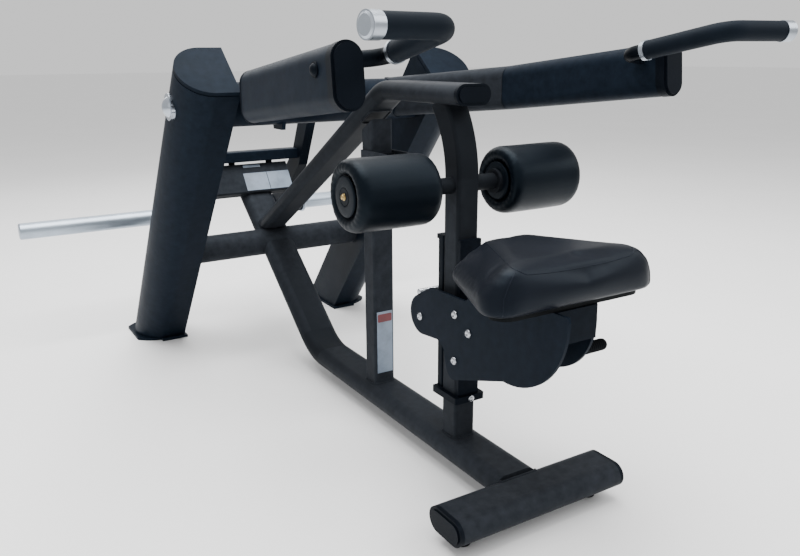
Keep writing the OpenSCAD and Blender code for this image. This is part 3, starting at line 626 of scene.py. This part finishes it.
# --- bolts and small fittings -----------------------------------------------------------
def islands(node):
    """Lowest and highest corner of each separate solid of a node."""
    bm = bmesh.new()
    bm.from_mesh(NODES[node].data)
    bmesh.ops.remove_doubles(bm, verts=bm.verts, dist=1e-6)
    found = []
    left = set(bm.verts)
    while left:
        stack = [left.pop()]
        corners = []
        while stack:
            vertex = stack.pop()
            corners.append(vertex.co.copy())
            for edge in vertex.link_edges:
                other = edge.other_vert(vertex)
                if other in left:
                    left.remove(other)
                    stack.append(other)
        found.append((Vector([min(c[i] for c in corners) for i in range(3)]),
                      Vector([max(c[i] for c in corners) for i in range(3)])))
    bm.free()
    return found


def button_head(bm, at, axis, r):
    """Domed bolt head with a hexagon socket."""
    lathe([(0, 0), (0, r), (0.0010, r), (0.0024, 0.93 * r), (0.0038, 0.76 * r), (0.0047, 0.56 * r),
           (0.0048, 0.46 * r), (0.0047, 0.40 * r, "six"), (0.0016, 0.38 * r, "six"), (0.0012, 0)],
          at, axis, 48, bm)


def hex_head(bm, at, axis, r, tall):
    """Hexagon bolt head on a washer."""
    lathe([(0, 0), (0, 1.5 * r), (0.0014, 1.5 * r), (0.0018, 1.42 * r), (0.0018, 1.15 * r),
           (0.0019, 0.92 * r, "six"), (tall - 0.0008, 0.92 * r, "six"), (tall, 0.82 * r), (tall, 0)],
          at, axis, 48, bm)


def carriage_bolts():
    """Button heads outside the plates, and plain axles between them."""
    bm = bmesh.new()
    for low, high in islands("carriage_bolts"):
        mid = (low + high) / 2
        r = (high.z - low.z) / 2
        if high.x - low.x < 0.008:
            outward = 1 if mid.x > 0 else -1
            start = low.x if outward > 0 else high.x
            button_head(bm, Vector((start, mid.y, mid.z)), (outward, 0, 0), r)
        else:
            span = high.x - low.x
            lathe([(0, 0), (0, r - 0.0008), (0.0008, r), (span - 0.0008, r), (span, r - 0.0008),
                   (span, 0)], Vector((low.x, mid.y, mid.z)), (1, 0, 0), 32, bm)
    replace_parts(piece("button_heads", bm, "seat_carriage", "bolt_steel"), "carriage_bolts")


def frame_bolts():
    """Bolts in the ends of the roller bar and of the bottom bracket."""
    bm = bmesh.new()
    for low, high in islands("frame_bolts"):
        mid = (low + high) / 2
        if abs(mid.x) > BAR_BOLT_X:
            axis = Vector((math.copysign(1, mid.x), 0, 0))
            tall = high.x - low.x
        else:
            axis = Vector((0, 1 if mid.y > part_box("seat_column")[0].y else -1, 0))
            tall = high.y - low.y
        hex_head(bm, mid - axis * tall / 2, axis, 0.0045, tall)
    bolts = piece("hex_bolts", bm, "frame", "bolt_steel")
    bolts.data.materials.append(MATERIALS["bush_metal"])
    for face in bolts.data.polygons:
        if abs(face.center.x) > BAR_BOLT_X:
            face.material_index = 1
    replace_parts(bolts, "frame_bolts")


def lever_grip():
    """Ribbed rubber sleeve with a round end on the release lever."""
    low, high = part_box("lever_grip")
    centre = (low + high) / 2
    r = (high.z - low.z) / 2
    span = high.x - low.x
    profile = [(0, 0), (0, r - 0.002), (0.001, r - 0.0005)]
    for k in range(9):
        x = 0.004 + k * 0.0048
        profile += [(x, r), (x + 0.0026, r), (x + 0.0032, r - 0.0009), (x + 0.0042, r - 0.0009)]
    profile += [(span - 0.005, r - 0.0008), (span - 0.002, r - 0.003), (span - 0.0004, r - 0.006),
                (span, 0)]
    bm = lathe(profile, Vector((low.x, centre.y, centre.z)), (1, 0, 0), 40)
    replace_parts(piece("lever_sleeve", bm, "release_lever", "foot_rubber"), "lever_grip")


def rubber_feet():
    """Turned rubber feet with a groove and a chamfered tread."""
    bm = bmesh.new()
    for low, high in islands("rubber_feet"):
        mid = (low + high) / 2
        r = (high.x - low.x) / 2
        tall = high.z - low.z
        lathe([(0, 0), (0, r - 0.0035), (0.0015, r - 0.0015), (0.0060, r - 0.0005),
               (0.0068, r - 0.0020), (0.0086, r - 0.0020), (0.0094, r), (tall, r), (tall, 0)],
              Vector((mid.x, mid.y, low.z)), (0, 0, 1), 48, bm)
    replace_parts(piece("turned_feet", bm, "frame", "foot_rubber"), "rubber_feet")


def horn_collars():
    """Turned collars with rounded edges, where the plates stop."""
    bm = bmesh.new()
    for low, high in islands("horn_collars"):
        mid = (low + high) / 2
        outward = math.copysign(1, mid.x)
        r = (high.z - low.z) / 2
        t = high.x - low.x
        bore = 0.0242
        lathe([(0, bore), (0, r - 0.003), (0.0008, r - 0.001), (0.0028, r), (t - 0.0028, r),
               (t - 0.0008, r - 0.001), (t, r - 0.003), (t, bore), (0, bore)],
              Vector((mid.x - outward * t / 2, mid.y, mid.z)), (outward, 0, 0), 64, bm)
    bmesh.ops.remove_doubles(bm, verts=bm.verts, dist=1e-6)
    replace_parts(piece("turned_collars", bm, "press_arm", "horn_steel"), "horn_collars")


def label_band():
    """Plain red band across the top of the post's blank label."""
    low, high = next(box for box in islands("blank_labels") if box[1].y < 0)
    wide, tall = (high.x - low.x) / 2 - 0.002, 0.020
    outline = rounded_outline([(-wide, -tall / 2), (wide, -tall / 2), (wide, tall / 2),
                               (-wide, tall / 2)], 0.003, BAND_POINTS)
    bm = bmesh.new()
    loops = [[bm.verts.new((p.x, y, high.z - 0.016 + p.y)) for p in outline]
             for y in (low.y - 0.0003, low.y + 0.0002)]
    bm.faces.new(loops[0])
    bm.faces.new(loops[1])
    for i in range(BAND_POINTS):
        j = (i + 1) % BAND_POINTS
        bm.faces.new([loops[0][i], loops[0][j], loops[1][j], loops[1][i]])
    piece("label_band", bm, "frame", "label_film", smooth=False, material=BAND)


# --- welds ------------------------------------------------------------------------------
def surfaces(*nodes):
    """Search trees over the surfaces of CAD nodes."""
    meshes = [NODES[node].data for node in nodes]
    return [BVHTree.FromPolygons([v.co for v in m.vertices], [list(f.vertices) for f in m.polygons])
            for m in meshes]


def bead(bm, points):
    """A closed, rippled weld bead."""
    tube_along(points, WELD_R, closed=True, bm=bm, ripple=WELD_RIPPLE)


def weld(bm, ring, direction, trees):
    """A bead where rays from a closed ring first meet a surface."""
    points = []
    for start in ring:
        hits = [tree.ray_cast(start, Vector(direction)) for tree in trees]
        near = [(hit[3], hit[0]) for hit in hits if hit[0] is not None]
        if near:
            points.append(min(near, key=lambda item: item[0])[1])
    bead(bm, points)


def section_ring(a, b, share, section, count=90):
    """Points round a tube at a share of its run from a to b, and the run's direction."""
    wide, tall, radius = section
    forward = (b - a).normalized()
    level = Vector((0, 0, 1)).cross(forward).normalized()
    up = forward.cross(level)
    w, t = wide / 2, tall / 2
    outline = rounded_outline([(-w, -t), (w, -t), (w, t), (-w, t)], radius, count)
    middle = a.lerp(b, share)
    return [middle + level * p.x + up * p.y for p in outline], forward


def upright_ring(y, z, section):
    """Points round an upright tube in the middle plane."""
    wide, deep, radius = section
    w, d = wide / 2, deep / 2
    outline = rounded_outline([(-w, -d), (w, -d), (w, d), (-w, d)], radius, 80)
    return [Vector((p.x, y + p.y, z)) for p in outline]


def flipped(ring, axis):
    """The same ring and direction on the left side."""
    return [Vector((-p.x, p.y, p.z)) for p in ring], Vector((-axis.x, axis.y, axis.z))


def frame_welds():
    """Beads at the ends of the post, seat column, spine, top tube and rear cross tube."""
    bm = bmesh.new()
    spine, top = surfaces("spine", "spine_rear"), surfaces("top_tube")
    post_low, post_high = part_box("post")
    post_y = (post_low.y + post_high.y) / 2
    column_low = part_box("seat_column")[0]
    weld(bm, upright_ring(post_y, 0.12, POST_SECTION), (0, 0, -1), spine)
    weld(bm, upright_ring(column_low.y + 0.025, 0.12, COLUMN_SECTION), (0, 0, -1), spine)
    weld(bm, upright_ring(post_y, 0.66, POST_SECTION), (0, 0, 1), top)
    weld(bm, *section_ring(SPINE_FROM, SPINE_TO, 0, SPINE_SECTION), surfaces("front_foot"))
    weld(bm, *section_ring(TOP_FROM, TOP_TO, 0.2, TOP_SECTION), spine)
    low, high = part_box("rear_cross_tube")
    mid, r = (low + high) / 2, (high.z - low.z) / 2
    for side, sign in (("left", -1), ("right", 1)):
        leg_low, leg_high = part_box(f"leg_{side}")
        inner = min(abs(leg_low.x), abs(leg_high.x)) - 0.0005
        ring = [Vector((sign * inner, mid.y + r * math.cos(a), mid.z + r * math.sin(a)))
                for a in (2 * math.pi * k / 90 for k in range(90))]
        bead(bm, ring)
    piece("frame_welds", bm, "frame", "frame_paint")


def arm_welds():
    """Beads where the limbs and the weight levers meet the pivot beam."""
    bm = bmesh.new()
    beam = surfaces("pivot_beam")
    for a, b, section in ((LIMB_FROM, LIMB_TO, LIMB_SECTION),
                          (LEVER_TO, LEVER_FROM, LEVER_SECTION)):
        ring, axis = section_ring(a, b, 0.6, section)
        weld(bm, ring, axis, beam)
        weld(bm, *flipped(ring, axis), beam)
    piece("arm_welds", bm, "press_arm", "dark_paint")


# --- floor, light, camera ---------------------------------------------------------------
def stage():
    """Large plain floor, nearly as pale as the world behind it."""
    bm = bmesh.new()
    bmesh.ops.create_grid(bm, x_segments=2, y_segments=2, size=40.0)
    mesh = bpy.data.meshes.new("studio_floor")
    bm.to_mesh(mesh)
    bm.free()
    floor = bpy.data.objects.new("studio_floor", mesh)
    bpy.context.scene.collection.objects.link(floor)
    mat, tree, shader, coord = new_material("studio_floor")
    soft = noise_node(tree, coord, 1.4)
    tree.links.new(ramp(tree, soft, [(0.2, (0.88, 0.88, 0.88)), (0.8, (0.91, 0.91, 0.91))]),
                   shader.inputs["Base Color"])
    shader.inputs["Roughness"].default_value = 0.85
    mesh.materials.append(mat)


def area_light(name, at, target, size, power):
    """A rectangular lamp that looks at a target."""
    light = bpy.data.lights.new(name, "AREA")
    light.shape = "RECTANGLE"
    light.size, light.size_y = size
    light.energy = power
    obj = bpy.data.objects.new(name, light)
    obj.location = at
    look = Vector(target) - Vector(at)
    obj.rotation_euler = look.to_track_quat("-Z", "Y").to_euler()
    bpy.context.scene.collection.objects.link(obj)


def lights():
    """Soft key, fill, top and back lamps in a white world."""
    target = (0.0, 0.0, 0.45)
    area_light("key", (2.4, -2.2, 2.8), target, (2.2, 2.2), 60.0)
    area_light("fill", (-2.8, -2.0, 1.8), target, (2.6, 2.2), 6.0)
    area_light("top", (-0.2, 0.0, 3.4), target, (3.2, 3.2), 260.0)
    area_light("back", (0.4, 3.2, 2.4), target, (3.0, 1.8), 40.0)
    world = bpy.data.worlds.new("studio")
    world.use_nodes = True
    background = world.node_tree.nodes["Background"]
    background.inputs["Color"].default_value = (1.0, 1.0, 1.0, 1.0)
    background.inputs["Strength"].default_value = 0.9
    bpy.context.scene.world = world


def camera():
    """The camera that takes the photo's view."""
    data = bpy.data.cameras.new("camera")
    data.lens = CAMERA_LENS
    data.sensor_width = 36.0
    obj = bpy.data.objects.new("camera", data)
    turn = (Matrix.Rotation(math.radians(-CAMERA_YAW), 4, "Z")
            @ Matrix.Rotation(math.radians(90 + CAMERA_PITCH), 4, "X")
            @ Matrix.Rotation(math.radians(CAMERA_ROLL), 4, "Z"))
    obj.matrix_world = Matrix.Translation(CAMERA_AT) @ turn
    bpy.context.scene.collection.objects.link(obj)
    bpy.context.scene.camera = obj


camera()
stage()
lights()
dress_cad_nodes()
seat_pad()
roller("left")
roller("right")
carriage_bolts()
frame_bolts()
lever_grip()
rubber_feet()
horn_collars()
label_band()
frame_welds()
arm_welds()
